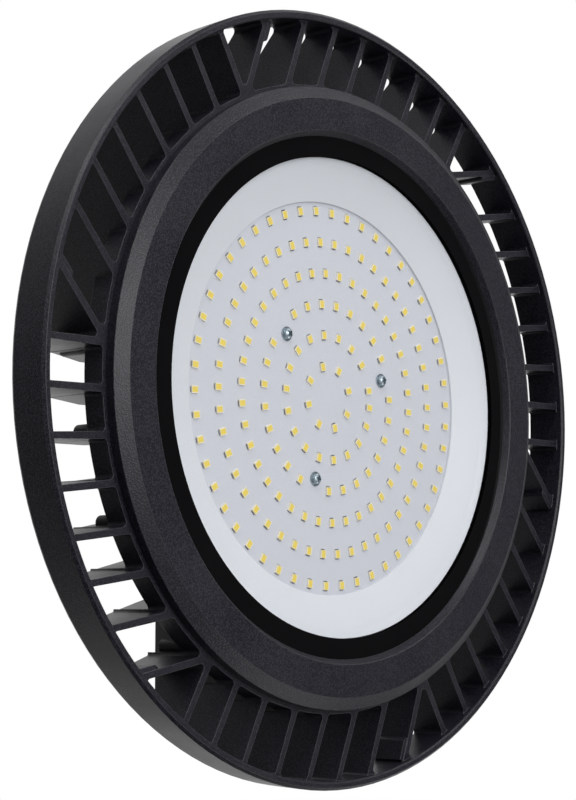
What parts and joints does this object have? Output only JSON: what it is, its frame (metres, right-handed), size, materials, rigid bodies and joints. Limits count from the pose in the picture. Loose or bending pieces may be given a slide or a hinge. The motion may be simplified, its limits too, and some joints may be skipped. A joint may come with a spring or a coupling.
{
  "type": "high bay light",
  "caption": "Round LED high bay light: finned cast body, LED board behind a flat glass cover, driver housing with gland and hanging eye on the back.",
  "frame": {"origin": "centre of the bezel's front plane, on which the light can rest", "axes": "+Z from the LED side up to the hanging eye; +X from the centre towards the cable gland; +Y completes the frame"},
  "size_m": [0.308, 0.308, 0.133],
  "materials": {
    "cast_black": "die cast, black textured powder coat",
    "board_white": "metal core board, white solder mask",
    "led_phosphor": "yellow phosphor in a white package",
    "reflector_white": "spun sheet, satin white",
    "cover_glass": "clear tempered, black printed border",
    "silicone_black": "moulded silicone",
    "screw_zinc": "zinc plated",
    "eye_zinc": "forged, zinc plated",
    "gland_nylon": "moulded nylon",
    "driver_green": "glass epoxy board",
    "standoff_brass": "turned",
    "ferrite_grey": "sintered ferrite",
    "tape_yellow": "polyester tape over the winding",
    "can_sleeve": "shrunk sleeve",
    "copper_wire": "enamelled copper",
    "block_green": "moulded",
    "plate_plain": "plain sheet",
    "chip_black": "moulded epoxy",
    "lead_red": "silicone insulation"
  },
  "bodies": {
    "root": {"heat_sink": "cast_black", "led_board": "board_white", "leds": "led_phosphor", "board_screws": "screw_zinc", "reflector": "reflector_white", "lens_cover": "cover_glass", "lens_gasket": "silicone_black", "bezel": "cast_black", "bezel_screws": "screw_zinc", "driver_housing": "cast_black", "housing_screws": "screw_zinc", "lid_gasket": "silicone_black", "housing_lid": "cast_black", "lid_screws": "screw_zinc", "driver_board": "driver_green", "standoffs": "standoff_brass", "driver_board_screws": "screw_zinc", "transformer_core": "ferrite_grey", "transformer_winding": "tape_yellow", "capacitors": "can_sleeve", "line_choke": "copper_wire", "terminal_block": "block_green", "heat_spreader": "plate_plain", "transistors": "chip_black", "wire_grommet": "silicone_black", "led_leads": "lead_red", "gland_body": "gland_nylon", "gland_seal": "silicone_black", "gland_nut": "gland_nylon", "gland_locknut": "gland_nylon", "eye_bolt": "eye_zinc", "eye_washer": "eye_zinc", "eye_nut": "eye_zinc"}
  },
  "joints": []
}
